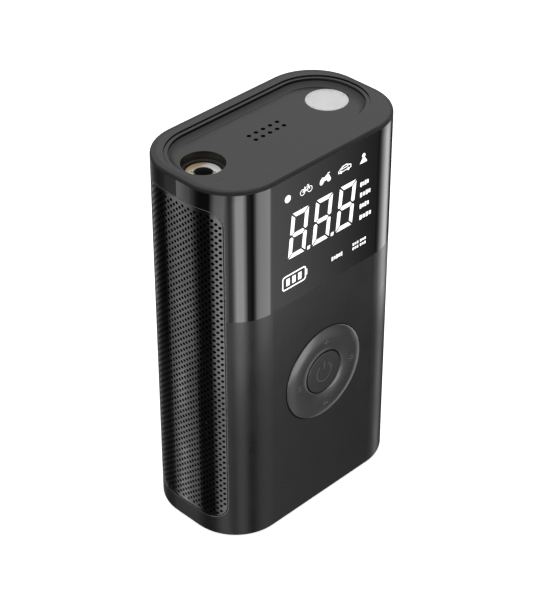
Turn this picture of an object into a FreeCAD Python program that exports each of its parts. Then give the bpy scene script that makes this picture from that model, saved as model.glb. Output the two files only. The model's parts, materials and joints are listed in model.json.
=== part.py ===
import FreeCAD, Part
import math
import os
import re
import Sketcher

# Handheld cordless air pump.  Millimetres, +Z up, origin at the centre of the flat base.
# The control face looks along -Y and the air outlet is in the top, near the -X end.

VECTOR = FreeCAD.Vector

DIMENSIONS = {
    # casing outline
    "width": 80.0, "depth": 45.0, "height": 132.5, "corner": 17.27,
    "wall": 2.2, "skin": 1.0, "play": 0.15, "seam_y": 0.5,
    "wrap_low": 86.2, "wrap_high": 131.2, "wrap_thick": 1.2,
    "rim_round": 1.25, "foot_round": 1.1, "base_thick": 2.4,
    # side grilles
    "grille_low": 7.5, "grille_high": 124.9, "grille_reach": 15.45, "grille_corner": 5.0,
    "grille_inset": 0.15, "grille_thick": 0.75, "grille_gap": 0.25,
    "slot_low": 16.0, "slot_high": 116.0, "slot_reach": 9.0,
    # top recess, outlet and lamp
    "rim_half_x": 37.3, "rim_half_y": 16.35, "rim_centre_y": 1.95,
    "skirt_low": 127.5,
    "lip_top": 131.8, "lip_width": 1.2, "floor_top": 130.1, "floor_low": 127.5,
    "port_x": 26.65, "port_y": 3.0, "port_radius": 6.9,
    "vent_radius": 0.75, "vent_pitch": 3.03,
    "connector_top": 126.9, "connector_radius": 6.2, "connector_low": 118.9, "air_bore": 2.5,
    "nipple_radius": 2.4, "nipple_low": 110.5, "nipple_bore": 1.2,
    "hose_radius": 3.6, "hose_bore": 2.45, "hose_high": 113.5, "hose_bend": 5.0,
    "hose_rise": 7.0,
    "lens_radius": 6.85, "lens_top": 130.25,
    # controls
    "button_z": 51.6, "ring_hole": 17.05, "ring_radius": 16.75, "ring_bore": 7.8,
    "ring_crest": 23.65, "ring_edge": 22.45, "ring_lip": 22.8, "ring_back": 18.7,
    "ring_flange": 17.9,
    "power_radius": 7.5, "power_face": 22.95,
    # display
    "window_half": 22.5, "window_low": 89.0, "window_high": 127.0,
    # air pump: crank, rod, piston and cylinder on one vertical line
    "pump_x": -10.0, "rod_y": -3.0, "motor_z": 18.9, "module_size": 0.7,
    "pinion_teeth": 12, "gear_teeth": 54, "crank_throw": 4.0, "rod_length": 26.0,
    "shaft_radius": 3.0, "pin_radius": 2.25, "running": 0.05,
    "bore_radius": 9.06, "piston_radius": 9.0, "cylinder_radius": 10.4,
    "cylinder_low": 59.0, "cylinder_high": 86.0, "piston_top": 85.4,
    "head_half": 11.0, "head_high": 95.0, "head_screw_reach": 9.0,
    "can_radius": 12.2, "can_front": 18.5, "can_back": 8.5,
    "plate_front": 8.5, "plate_back": 11.5,
    # battery and charging
    "cell_x": 26.0, "cell_y": 9.4, "cell_radius": 9.2, "cell_low": 10.0, "cell_high": 75.0,
    "usb_x": 8.0, "usb_z": 14.0,
    "boss_x": 32.5, "boss_y": 13.0,
}

document = FreeCAD.newDocument("air_pump")
sheet = document.addObject("Spreadsheet::Sheet", "dims")
NODES = []


def fill_sheet():
    """One row for each driving dimension: its name, and its value under that alias."""
    for row, (word, value) in enumerate(DIMENSIONS.items(), 1):
        sheet.set("A%d" % row, word)
        sheet.set("B%d" % row, str(value))
        sheet.setAlias("B%d" % row, word)
    document.recompute()


def link(text):
    """Turns words such as wall + play into references to the sheet's cells."""
    return re.sub(r"[a-z]\w*", r"dims.\g<0>", str(text))


def number(text):
    """The present value of an expression in the sheet's words."""
    value = sheet.evalExpression(link(text))
    return float(getattr(value, "Value", value))


# ---------------------------------------------------------------- building blocks

def keep(piece, node):
    piece.Label = node
    NODES.append(piece)
    return piece


def place(piece, spot, turn=None):
    """Puts an object at a spot given as three expressions."""
    piece.Placement = FreeCAD.Placement(VECTOR(0, 0, 0), turn or FreeCAD.Rotation())
    for axis, text in zip("xyz", spot):
        piece.setExpression("Placement.Base." + axis, link(text))
    return piece


def new_body(name):
    return document.addObject("PartDesign::Body", name)


def sketch_on(body, plane, offset="0"):
    """A sketch on one of the body's own planes.  XZ sketches look along -Y."""
    sketch = body.newObject("Sketcher::SketchObject", body.Name + "_sketch")
    base = [part for part in body.Origin.OriginFeatures if part.Role == plane][0]
    sketch.AttachmentSupport = (base, [""])
    sketch.MapMode = "FlatFace"
    sketch.setExpression("AttachmentOffset.Base.z", link(offset))
    return sketch


def fix(sketch, kind, where, text):
    """A dimension of the sketch, bound to the sheet.  A zero goes on the axis instead."""
    value = number(text)
    if kind != "Radius" and abs(value) < 1e-9:
        axis = -2 if kind == "DistanceX" else -1
        sketch.addConstraint(Sketcher.Constraint("PointOnObject", where[-2], where[-1], axis))
        return
    index = sketch.addConstraint(Sketcher.Constraint(kind, *where, value))
    sketch.setExpression("Constraints[%d]" % index, link(text))


def rectangle(sketch, half_x, half_y, radius, centre_x="0", centre_y="0"):
    """A rectangle with round corners, of two half sizes about a centre."""
    hx, hy, r = number(half_x), number(half_y), number(radius)
    cx, cy = number(centre_x), number(centre_y)
    first = sketch.GeometryCount
    corners = [(cx + hx, cy - hy), (cx + hx, cy + hy), (cx - hx, cy + hy), (cx - hx, cy - hy)]
    turns = [(-1, 1), (-1, -1), (1, -1), (1, 1)]
    for step, ((x, y), (in_x, in_y)) in enumerate(zip(corners, turns)):
        centre = VECTOR(x + in_x * r, y + in_y * r, 0)
        start = (step - 1) * math.pi / 2
        circle = Part.Circle(centre, VECTOR(0, 0, 1), r)
        sketch.addGeometry(Part.ArcOfCircle(circle, start, start + math.pi / 2))
    for step in range(4):
        one = sketch.getPoint(first + step, 2)
        two = sketch.getPoint(first + (step + 1) % 4, 1)
        sketch.addGeometry(Part.LineSegment(one, two))
    for step in range(4):
        line = first + 4 + step
        sketch.addConstraint(Sketcher.Constraint("Tangent", first + step, 2, line, 1))
        sketch.addConstraint(Sketcher.Constraint("Tangent", line, 2, first + (step + 1) % 4, 1))
        upright = "Vertical" if step % 2 == 0 else "Horizontal"
        sketch.addConstraint(Sketcher.Constraint(upright, line))
        fix(sketch, "Radius", (first + step,), radius)
    fix(sketch, "DistanceX", (-1, 1, first + 4, 1), "%s + %s" % (centre_x, half_x))
    fix(sketch, "DistanceX", (-1, 1, first + 6, 1), "%s - (%s)" % (centre_x, half_x))
    fix(sketch, "DistanceY", (-1, 1, first + 5, 1), "%s + %s" % (centre_y, half_y))
    fix(sketch, "DistanceY", (-1, 1, first + 7, 1), "%s - (%s)" % (centre_y, half_y))


def outline(sketch, inset="0"):
    """The casing's outline, drawn in by an inset all round."""
    sizes = ["width / 2 - (%s)" % inset, "depth / 2 - (%s)" % inset, "corner - (%s)" % inset]
    rectangle(sketch, *sizes)


def circle(sketch, radius, x="0", y="0"):
    centre = VECTOR(number(x), number(y), 0)
    index = sketch.addGeometry(Part.Circle(centre, VECTOR(0, 0, 1), number(radius)))
    fix(sketch, "Radius", (index,), radius)
    fix(sketch, "DistanceX", (-1, 1, index, 3), x)
    fix(sketch, "DistanceY", (-1, 1, index, 3), y)


def polygon(sketch, corners, bows=None):
    """A closed outline through corners given as expression pairs.
    bows gives, for a side's number, the point that its arc passes on the way."""
    spots = [VECTOR(number(x), number(y), 0) for x, y in corners]
    bows = bows or {}
    count = len(spots)
    ends = []
    for side, start in enumerate(spots):
        stop = spots[(side + 1) % count]
        if side not in bows:
            sketch.addGeometry(Part.LineSegment(start, stop))
            ends.append((1, 2))
            continue
        crown = VECTOR(number(bows[side][0]), number(bows[side][1]), 0)
        arc = Part.Arc(start, crown, stop)
        index = sketch.addGeometry(arc)
        forward = sketch.getPoint(index, 1).distanceToPoint(start) < 1e-6
        ends.append((1, 2) if forward else (2, 1))
    for side in range(count):
        following = (side + 1) % count
        joint = (side, ends[side][1], following, ends[following][0])
        sketch.addConstraint(Sketcher.Constraint("Coincident", *joint))
        fix(sketch, "DistanceX", (-1, 1, side, ends[side][0]), corners[side][0])
        fix(sketch, "DistanceY", (-1, 1, side, ends[side][0]), corners[side][1])
    for side in bows:
        index = sketch.addGeometry(Part.Point(VECTOR(*[number(t) for t in bows[side]], 0)), True)
        fix(sketch, "DistanceX", (-1, 1, index, 1), bows[side][0])
        fix(sketch, "DistanceY", (-1, 1, index, 1), bows[side][1])
        sketch.addConstraint(Sketcher.Constraint("PointOnObject", index, 1, side))


def feature(body, kind, sketch):
    made = body.newObject("PartDesign::" + kind, body.Name + "_" + kind.lower())
    made.Profile = sketch
    return made


def pad(body, sketch, length):
    """Adds material along the sketch's normal."""
    made = feature(body, "Pad", sketch)
    made.setExpression("Length", link(length))
    document.recompute()


def pocket(body, sketch, length):
    """Takes material away along the sketch's normal."""
    before = body.Shape.Volume
    made = feature(body, "Pocket", sketch)
    made.Reversed = True
    made.setExpression("Length", link(length))
    document.recompute()
    if body.Shape.Volume > before - 1e-6:
        raise SystemExit("a pocket of %s cuts nothing" % body.Name)


def round_edges(body, radius, pick):
    """Rounds the edges of the body's last feature that pick(edge) accepts."""
    names = ["Edge%d" % (i + 1) for i, edge in enumerate(body.Shape.Edges) if pick(edge)]
    last = body.Tip
    made = body.newObject("PartDesign::Fillet", body.Name + "_fillet")
    made.Base = (last, names)
    made.setExpression("Radius", link(radius))
    document.recompute()
    if not names or "Invalid" in made.State:
        raise SystemExit("the rounding of %s failed" % body.Name)


def turned(name, corners, spot=("0", "0", "0"), lying=False, bows=None):
    """A piece turned about an axis: corners are (radius, place along the axis).
    The axis is upright, or along Y when the piece is lying."""
    body = new_body(name)
    sketch = sketch_on(body, "XY_Plane" if lying else "XZ_Plane")
    polygon(sketch, corners, bows)
    made = feature(body, "Revolution", sketch)
    made.ReferenceAxis = (sketch, ["V_Axis"])
    made.Angle = 360
    document.recompute()
    return place(body, spot)


def rod(name, radius, low, high, spot=("0", "0", "0"), lying=False):
    """A round bar."""
    return tube(name, radius, "0", low, high, spot, lying)


def tube(name, outer, inner, low, high, spot=("0", "0", "0"), lying=False):
    corners = [(inner, low), (outer, low), (outer, high), (inner, high)]
    return turned(name, corners, spot, lying)


def block(name, low, high):
    """A box between two corners given as expressions."""
    made = document.addObject("Part::Box", name)
    for size, one, two in zip(("Length", "Width", "Height"), low, high):
        made.setExpression(size, link("%s - (%s)" % (two, one)))
    return place(made, low)


def fuse(name, *pieces):
    made = document.addObject("Part::MultiFuse", name)
    made.Shapes = list(pieces)
    return made


def cut(name, base, *tools):
    """The base less its tools."""
    made = document.addObject("Part::Cut", name)
    made.Base = base
    made.Tool = tools[0] if len(tools) == 1 else fuse(name + "_tools", *tools)
    return made


def group(name, pieces):
    """Identical loose pieces that share one node."""
    made = document.addObject("Part::Compound", name)
    made.Links = list(pieces)
    return made


# ---------------------------------------------------------------- casing

def on_outline(point):
    """True on the casing's outer surface, seen from above."""
    core_x = number("width / 2 - corner")
    core_y = number("depth / 2 - corner")
    out_x = max(abs(point.x) - core_x, 0)
    out_y = max(abs(point.y) - core_y, 0)
    return abs(math.hypot(out_x, out_y) - number("corner")) < 0.01


def outline_edge_at(height):
    """A test for edges of the outline at one height."""
    def pick(edge):
        middle = edge.valueAt((edge.FirstParameter + edge.LastParameter) / 2)
        level = abs(edge.BoundBox.ZMin - height) < 0.01 and abs(edge.BoundBox.ZMax - height) < 0.01
        return level and on_outline(middle)
    return pick


def outline_ring(body, outer, inner, low, high):
    sketch = sketch_on(body, "XY_Plane", low)
    outline(sketch, outer)
    outline(sketch, inner)
    pad(body, sketch, "%s - (%s)" % (high, low))


def end_window(body, low, high, reach, radius):
    """Cuts a round-cornered window through both narrow ends."""
    sketch = sketch_on(body, "YZ_Plane", "-width")
    middle = "((%s) + (%s)) / 2" % (low, high)
    rectangle(sketch, reach, "((%s) - (%s)) / 2" % (high, low), radius, "0", middle)
    pocket(body, sketch, "2 * width")


def grille_window(body):
    end_window(body, "grille_low - grille_gap", "grille_high + grille_gap",
               "grille_reach + grille_gap", "grille_corner + grille_gap")


def clear_half(body, toward_rear):
    """Takes away everything on one side of the seam between the two shells."""
    sketch = sketch_on(body, "XY_Plane", "-1")
    centre = "seam_y %s depth / 2" % ("+" if toward_rear else "-")
    rectangle(sketch, "width", "depth / 2", "1", "0", centre)
    pocket(body, sketch, "height + 2")


def shell_half(name, toward_rear):
    """The common form of both shells: skin, grille seats, air slots, and one half taken away."""
    body = new_body(name)
    outline_ring(body, "0", "skin", "0", "wrap_high")
    grille_window(body)
    outline_ring(body, "skin", "wall", "0", "wrap_high")
    round_edges(body, "foot_round", outline_edge_at(0))
    end_window(body, "slot_low", "slot_high", "slot_reach", "grille_corner")
    clear_half(body, toward_rear)
    return body


def screw_bosses(body, sign):
    """Two bosses over the base plate for the base screws."""
    sketch = sketch_on(body, "XY_Plane", "base_thick + 0.1")
    for side in ("boss_x", "-boss_x"):
        circle(sketch, "3.2", side, sign + "boss_y")
        circle(sketch, "1.3", side, sign + "boss_y")
    pad(body, sketch, "5.5")


def front_shell():
    body = shell_half("front_shell", True)
    # step for the glossy wrap round the upper part
    sketch = sketch_on(body, "XY_Plane", "wrap_low")
    outline(sketch, "-1")
    outline(sketch, "wrap_thick")
    pocket(body, sketch, "height")
    # display window
    sketch = sketch_on(body, "XZ_Plane", "depth / 2 - wall - 1")
    middle = "(window_low + window_high) / 2"
    rectangle(sketch, "window_half", "(window_high - window_low) / 2", "1", "0", middle)
    pocket(body, sketch, "wall + 2")
    # round opening for the control ring
    sketch = sketch_on(body, "XZ_Plane", "depth / 2 - wall - 1")
    circle(sketch, "ring_hole", "0", "button_z")
    pocket(body, sketch, "wall + 2")
    # posts that carry the button board
    sketch = sketch_on(body, "XZ_Plane", "16.6")
    for x in ("16.2", "-16.2"):
        for rise in ("+", "-"):
            circle(sketch, "1.9", x, "button_z %s 16.2" % rise)
    pad(body, sketch, "depth / 2 - wall - 16.4")
    screw_bosses(body, "-")
    keep(body, "front_shell")


def damper_spots():
    """Four (x, z) places on the gearbox frame, clear of the large gear."""
    for across in ("-17", "+17"):
        for height in ("24", "60"):
            yield "pump_x " + across, height


def rear_shell():
    body = shell_half("rear_shell", False)
    # posts behind the rubber dampers, each with a pilot hole
    sketch = sketch_on(body, "XZ_Plane", "-(depth / 2 - wall + 0.1)")
    for x, z in damper_spots():
        circle(sketch, "3.5", x, z)
        circle(sketch, "1.2", x, z)
    pad(body, sketch, "depth / 2 - wall + 0.1 - 16")
    # charging socket opening
    sketch = sketch_on(body, "XZ_Plane", "-depth / 2 - 1")
    rectangle(sketch, "4.6", "1.75", "1.7", "usb_x", "usb_z")
    pocket(body, sketch, "wall + 2")
    screw_bosses(body, "")
    keep(body, "rear_shell")


def display_wrap():
    """Glossy U-shaped skin over the upper front and both front corners."""
    body = new_body("display_wrap")
    outline_ring(body, "0", "wrap_thick", "wrap_low", "wrap_high")
    grille_window(body)
    clear_half(body, True)
    keep(body, "display_wrap")


def base_plate():
    body = new_body("base_plate")
    sketch = sketch_on(body, "XY_Plane")
    outline(sketch, "wall + play")
    pad(body, sketch, "base_thick")
    sketch = sketch_on(body, "XY_Plane", "-1")
    for x in ("boss_x", "-boss_x"):
        for y in ("boss_y", "-boss_y"):
            circle(sketch, "1.4", x, y)
    pocket(body, sketch, "base_thick + 2")
    sketch = sketch_on(body, "XY_Plane", "-1")
    for x in ("boss_x", "-boss_x"):
        for y in ("boss_y", "-boss_y"):
            circle(sketch, "2.5", x, y)
    pocket(body, sketch, "2.5")
    keep(body, "base_plate")


def base_screws():
    screws = []
    for x in ("boss_x", "-boss_x"):
        for y in ("boss_y", "-boss_y"):
            corners = [("0", "1.1"), ("0.7", "0.3"), ("2.3", "0.3"), ("2.3", "1.5"),
                       ("1.25", "1.5"), ("1.25", "7.4"), ("0.9", "7.8"), ("0", "7.8")]
            screws.append(turned("base_screw", corners, (x, y, "0")))
    keep(group("base_screw_set", screws), "base_screws")


def rim_hole(sketch, inset="0"):
    """The long round-ended opening in the top."""
    half_y = "rim_half_y - (%s)" % inset
    rectangle(sketch, "rim_half_x - (%s)" % inset, half_y, half_y + " - 0.6",
              "0", "rim_centre_y")


def top_bezel():
    """The matt cap: a wide rim, a skirt inside the shells and a collar round the recess."""
    body = new_body("top_bezel")
    sketch = sketch_on(body, "XY_Plane", "wrap_high")
    outline(sketch)
    pad(body, sketch, "height - wrap_high")
    sketch = sketch_on(body, "XY_Plane", "skirt_low")
    outline(sketch, "wall + play")
    pad(body, sketch, "wrap_high - skirt_low")
    sketch = sketch_on(body, "XY_Plane", "skirt_low - 1")
    rim_hole(sketch)
    pocket(body, sketch, "height")
    round_edges(body, "rim_round", outline_edge_at(number("height")))
    keep(body, "top_bezel")


def vent_holes(sketch):
    """Two rows of five small holes."""
    for row in (-0.5, 0.5):
        for column in (-2, -1, 0, 1, 2):
            circle(sketch, "vent_radius", "%g * vent_pitch" % column,
                   "port_y + (%g * vent_pitch)" % row)


def top_plate():
    body = new_body("top_plate")
    sketch = sketch_on(body, "XY_Plane", "floor_low")
    rim_hole(sketch, "0.1")
    pad(body, sketch, "lip_top - floor_low")
    sketch = sketch_on(body, "XY_Plane", "floor_top")
    rim_hole(sketch, "lip_width")
    pocket(body, sketch, "10")
    sketch = sketch_on(body, "XY_Plane", "floor_low - 1")
    circle(sketch, "port_radius", "-port_x", "port_y")
    circle(sketch, "port_radius", "port_x", "port_y")
    vent_holes(sketch)
    pocket(body, sketch, "10")
    keep(body, "top_plate")


def grille(name, side):
    """A curved metal sheet that follows the casing's end.  Its small holes are left out here."""
    body = new_body(name + "_ring")
    outline_ring(body, "grille_inset", "grille_inset + grille_thick", "0", "height")
    keeper = new_body(name + "_frame")
    sketch = sketch_on(keeper, "YZ_Plane", "20")
    rectangle(sketch, "grille_reach", "(grille_high - grille_low) / 2", "grille_corner",
              "0", "(grille_high + grille_low) / 2")
    pad(keeper, sketch, "40")
    if side < 0:
        keeper.Placement = FreeCAD.Placement(VECTOR(0, 0, 0),
                                             FreeCAD.Rotation(VECTOR(0, 0, 1), 180))
    made = document.addObject("Part::Common", name + "_sheet")
    made.Base = body
    made.Tool = keeper
    keep(made, name)


# ---------------------------------------------------------------- lamp, outlet and buzzer

def lamp():
    spot = ("port_x", "port_y", "0")
    lens = [("0", "floor_low"), ("lens_radius + 0.8", "floor_low - 0.7"),
            ("lens_radius + 0.8", "floor_low - 0.05"), ("lens_radius", "floor_low - 0.05"),
            ("lens_radius", "lens_top"), ("0", "lens_top")]
    keep(turned("led_lens_body", lens, spot), "led_lens")
    cup = [("2.6", "121"), ("3.4", "121"), ("7.2", "126.7"), ("6.4", "126.7")]
    keep(turned("reflector_body", cup, spot), "lamp_reflector")
    keep(rod("lamp_board_body", "7.5", "119.4", "120.6", spot), "lamp_board")
    low = ("port_x - 1.6", "port_y - 1.6", "120.6")
    high = ("port_x + 1.6", "port_y + 1.6", "121.5")
    keep(block("lamp_led_body", low, high), "lamp_led")


def outlet():
    """The threaded brass socket that the air hose of the user screws into."""
    spot = ("-port_x", "port_y", "0")
    shoulder = "connector_low"
    socket = [("air_bore", "116"), ("air_bore", "connector_top - 0.5"),
              ("air_bore + 0.5", "connector_top"), ("connector_radius - 0.4", "connector_top"),
              ("connector_radius", "connector_top - 0.4"), ("connector_radius", shoulder),
              ("3.8", shoulder), ("3.8", "114"), ("nipple_radius", "114"),
              ("nipple_radius", "nipple_low"), ("nipple_bore", "nipple_low"),
              ("nipple_bore", "116")]
    keep(turned("connector_body", socket, spot), "outlet_connector")
    collar = [("connector_radius + 0.05", "118"), ("9.2", "118"), ("9.2", "floor_low - 0.05"),
              ("port_radius", "floor_low - 0.05"), ("port_radius - 0.3", "connector_top + 0.35"),
              ("connector_radius + 0.05", "connector_top + 0.1")]
    keep(turned("collar_body", collar, spot), "outlet_collar")
    seal = new_body("o_ring_body")
    sketch = sketch_on(seal, "XZ_Plane")
    circle(sketch, "0.6", "4.5", "connector_low - 0.6")
    made = feature(seal, "Revolution", sketch)
    made.ReferenceAxis = (sketch, ["V_Axis"])
    made.Angle = 360
    keep(place(seal, spot), "outlet_o_ring")


def hose_ends():
    """The hose's lower and upper ends, from the sheet."""
    low = VECTOR(number("pump_x"), number("rod_y"), number("head_high + 0.1"))
    high = VECTOR(-number("port_x"), number("port_y"), number("hose_high"))
    return low, high


def bend(corner, before, after, radius):
    """A tangent arc at a corner between two unit directions."""
    half = before.getAngle(after) / 2
    reach = radius * math.tan(half)
    start = corner - before * reach
    stop = corner + after * reach
    inward = after - before
    inward.normalize()
    middle = corner + inward * (radius / math.cos(half) - radius)
    return start, middle, stop


def air_hose():
    """A rubber hose from the cylinder head's spigot across and up to the outlet's nipple."""
    low, high = hose_ends()
    up = VECTOR(0, 0, 1)
    first = low + up * number("hose_rise")
    second = high - up * number("hose_rise")
    slope = second - first
    slope.normalize()
    one = bend(first, up, slope, number("hose_bend"))
    two = bend(second, slope, up, number("hose_bend"))
    path = Part.Wire([Part.LineSegment(low, one[0]).toShape(), Part.Arc(*one).toShape(),
                      Part.LineSegment(one[2], two[0]).toShape(), Part.Arc(*two).toShape(),
                      Part.LineSegment(two[2], high).toShape()])
    tubes = []
    for radius in ("hose_radius", "hose_bore"):
        ring = Part.Wire(Part.makeCircle(number(radius), low, up))
        tubes.append(path.makePipeShell([ring], True, False))
    hose = document.addObject("Part::Feature", "air_hose_shape")
    hose.Shape = tubes[0].cut(tubes[1])
    hose.Placement = FreeCAD.Placement()
    keep(hose, "air_hose")
    clamps = []
    for end, height in ((low, low.z + 0.6), (high, high.z - 2.8)):
        spot = (str(end.x), str(end.y), str(height))
        clamps.append(tube("hose_clamp", "hose_radius + 0.8", "hose_radius + 0.05", "0", "2.2", spot))
    keep(group("hose_clamp_set", clamps), "hose_clamps")


def buzzer():
    corners = [("1", "124"), ("1", "125.5"), ("6", "125.5"), ("6", "119"), ("0", "119"),
               ("0", "124")]
    keep(turned("buzzer_body", corners, ("0", "port_y", "0")), "buzzer")


# ---------------------------------------------------------------- controls

def nav_ring():
    """The tilting ring: a hollow crowned ring with a retaining flange behind the shell."""
    corners = [("ring_bore", "-ring_lip"), ("ring_radius", "-ring_edge"),
               ("ring_radius", "-ring_back - 0.6"), ("ring_flange", "-ring_back - 0.6"),
               ("ring_flange", "-ring_back"), ("15.6", "-ring_back"), ("15.6", "-21"),
               ("9.3", "-21"), ("9.3", "-19.9"), ("ring_bore", "-19.9")]
    crown = {0: ("(ring_bore + ring_radius) / 2", "-ring_crest")}
    ring = turned("nav_ring_body", corners, ("0", "0", "button_z"), True, crown)
    keep(ring, "nav_ring")


def nav_gimbal():
    keep(tube("gimbal_body", "14.7", "10", "-19.9", "-19.2", ("0", "0", "button_z"), True),
         "nav_gimbal")


def power_button():
    corners = [("0", "-power_face"), ("power_radius - 0.5", "-power_face"),
               ("power_radius", "-power_face + 0.4"), ("power_radius", "-19"),
               ("8.6", "-19"), ("8.6", "-18.5"), ("2", "-18.5"), ("2", "-18.3"), ("0", "-18.3")]
    keep(turned("power_body", corners, ("0", "0", "button_z"), True), "power_button")


def dome_spots():
    """The places of the switches: one in the middle and four round it."""
    return [("0", "button_z"), ("12", "button_z"), ("-12", "button_z"),
            ("0", "button_z + 12"), ("0", "button_z - 12")]


def switch_stack():
    sheet_body = rod("pad_sheet", "17.6", "-17.7", "-17.1", ("0", "0", "button_z"), True)
    domes = []
    for index, (x, z) in enumerate(dome_spots()):
        tip = "-17.75" if index == 0 else "-18.3"
        corners = [("0", "-17.4"), ("2.6", "-17.4"), ("1.6", tip), ("0", tip)]
        domes.append(turned("pad_dome", corners, (x, "0", z), True))
    keep(fuse("key_pad_shape", sheet_body, *domes), "key_pad")
    switches = []
    for x, z in dome_spots():
        low = (x + " - 1.5", "-17.1", z + " - 1.5")
        high = (x + " + 1.5", "-16.6", z + " + 1.5")
        switches.append(block("switch", low, high))
    keep(group("switch_set", switches), "tact_switches")
    low = ("-18.4", "-16.6", "button_z - 18.4")
    high = ("18.4", "-15.4", "button_z + 18.4")
    keep(block("button_board_body", low, high), "button_board")


def display():
    edge = "window_half - 0.4"
    keep(block("diffuser_body", ("-(%s)" % edge, "-21.2", "window_low + 0.4"),
               (edge, "-20.4", "window_high - 0.4")), "display_diffuser")
    keep(block("module_body", ("-22", "-20.2", "88"), ("22", "-16.2", "127")), "display_module")
    keep(block("main_board_body", ("-22", "-16.1", "79"), ("22", "-14.8", "127")), "main_board")


# ---------------------------------------------------------------- motor and gears

def half_tooth(teeth, base, radius, pitch):
    """Half the angle that a tooth takes up at a radius, for an involute flank."""
    backlash = 0.1
    def involute(angle):
        return math.tan(angle) - angle
    at_pitch = math.pi / (2 * teeth) - backlash / (2 * pitch)
    spread = involute(math.acos(base / pitch))
    inner = max(radius, base)
    return at_pitch + spread - involute(math.acos(base / inner))


def gear_shape(teeth, tip, root, bore, low, high, turn):
    """A spur gear about Y with involute teeth, the first one at an angle from +Z."""
    pitch = teeth * number("module_size") / 2
    base = pitch * math.cos(math.radians(20))
    def at(radius, angle):
        return VECTOR(radius * math.sin(angle), low, radius * math.cos(angle))
    edges = []
    start = max(base, root)
    for tooth in range(teeth):
        centre = turn + tooth * 2 * math.pi / teeth
        following = centre + 2 * math.pi / teeth
        rising = [at(r, centre - half_tooth(teeth, base, r, pitch))
                  for r in (start, (start + tip) / 2, tip)]
        falling = [at(r, centre + half_tooth(teeth, base, r, pitch))
                   for r in (tip, (start + tip) / 2, start)]
        root_angle = half_tooth(teeth, base, start, pitch)
        if start > root + 1e-6:
            edges.append(Part.LineSegment(at(root, centre - root_angle), rising[0]).toShape())
        edges.append(Part.Arc(*rising).toShape())
        edges.append(Part.Arc(rising[2], at(tip, centre), falling[0]).toShape())
        edges.append(Part.Arc(*falling).toShape())
        if start > root + 1e-6:
            edges.append(Part.LineSegment(falling[2], at(root, centre + root_angle)).toShape())
        valley = [at(root, a) for a in (centre + root_angle, centre + math.pi / teeth,
                                        following - root_angle)]
        edges.append(Part.Arc(*valley).toShape())
    face = Part.Face(Part.Wire(edges))
    blank = face.extrude(VECTOR(0, high - low, 0))
    return blank.cut(Part.makeCylinder(bore, high - low, VECTOR(0, low, 0), VECTOR(0, 1, 0)))


def gear(name, shape, height):
    made = document.addObject("Part::Feature", name + "_shape")
    made.Shape = shape
    return keep(place(made, ("pump_x", "0", height)), name)


def gears():
    size = number("module_size")
    wheel, small = number("gear_teeth"), number("pinion_teeth")
    wheel_pitch, small_pitch = wheel * size / 2, small * size / 2
    # a short addendum on the wheel keeps its tips clear of the pinion's roots
    wheel_shape = gear_shape(int(wheel), wheel_pitch + 0.75 * size, wheel_pitch - 1.25 * size,
                             number("shaft_radius"), 12.5, 16.5, 0)
    half_step = math.pi / small
    small_shape = gear_shape(int(small), small_pitch + size, small_pitch - 1.25 * size,
                             1.2, 12.3, 16.7, half_step)
    gear("crank_gear", wheel_shape, "motor_z + (gear_teeth + pinion_teeth) * module_size / 2")
    gear("pinion", small_shape, "motor_z")


def motor_screw_places():
    return ("pump_x - 8.5", "pump_x + 8.5")


def motor():
    spot = ("pump_x", "0", "motor_z")
    can = [("1.3", "can_back"), ("1.3", "can_back - 1"), ("can_radius - 1", "can_back - 1"),
           ("can_radius - 1", "-can_front + 1.5"), ("can_radius", "-can_front + 1.5"),
           ("can_radius", "can_back")]
    holes = [rod("can_screw_hole", "1.05", "7", "9", (x, "0", "motor_z"), True)
             for x in motor_screw_places()]
    keep(cut("can_shape", turned("can_body", can, spot, True), *holes), "motor_can")
    cap = [("1.3", "-can_front"), ("can_radius", "-can_front"),
           ("can_radius", "-can_front + 1.5"), ("1.3", "-can_front + 1.5")]
    keep(turned("endcap_body", cap, spot, True), "motor_endcap")
    ring = tube("magnet_ring", "can_radius - 1.05", "9", "-12", "5", spot, True)
    gap = block("magnet_gap", ("pump_x - 2", "-13", "motor_z - 12"),
                ("pump_x + 2", "6", "motor_z + 12"))
    keep(cut("magnet_pair", ring, gap), "motor_magnets")
    keep(tube("armature_body", "8.6", "1.2", "-11", "4", spot, True), "motor_armature")
    keep(tube("commutator_body", "3.2", "1.2", "-15.5", "-11.2", spot, True), "commutator")
    keep(rod("motor_shaft_body", "1.2", "-18.3", "17", spot, True), "motor_shaft")
    screws = []
    for x in motor_screw_places():
        corners = [("0", "12.6"), ("0", "7.6"), ("1", "7.6"), ("1", "plate_back"),
                   ("2.1", "plate_back"), ("2.1", "12.3"), ("1.7", "12.6")]
        screws.append(turned("motor_screw", corners, (x, "0", "motor_z"), True))
    keep(group("motor_screw_set", screws), "motor_screws")


# ---------------------------------------------------------------- crank, piston and cylinder

CRANK_Z = "(motor_z + (gear_teeth + pinion_teeth) * module_size / 2)"
PIN_Z = CRANK_Z + " + crank_throw"


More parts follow.
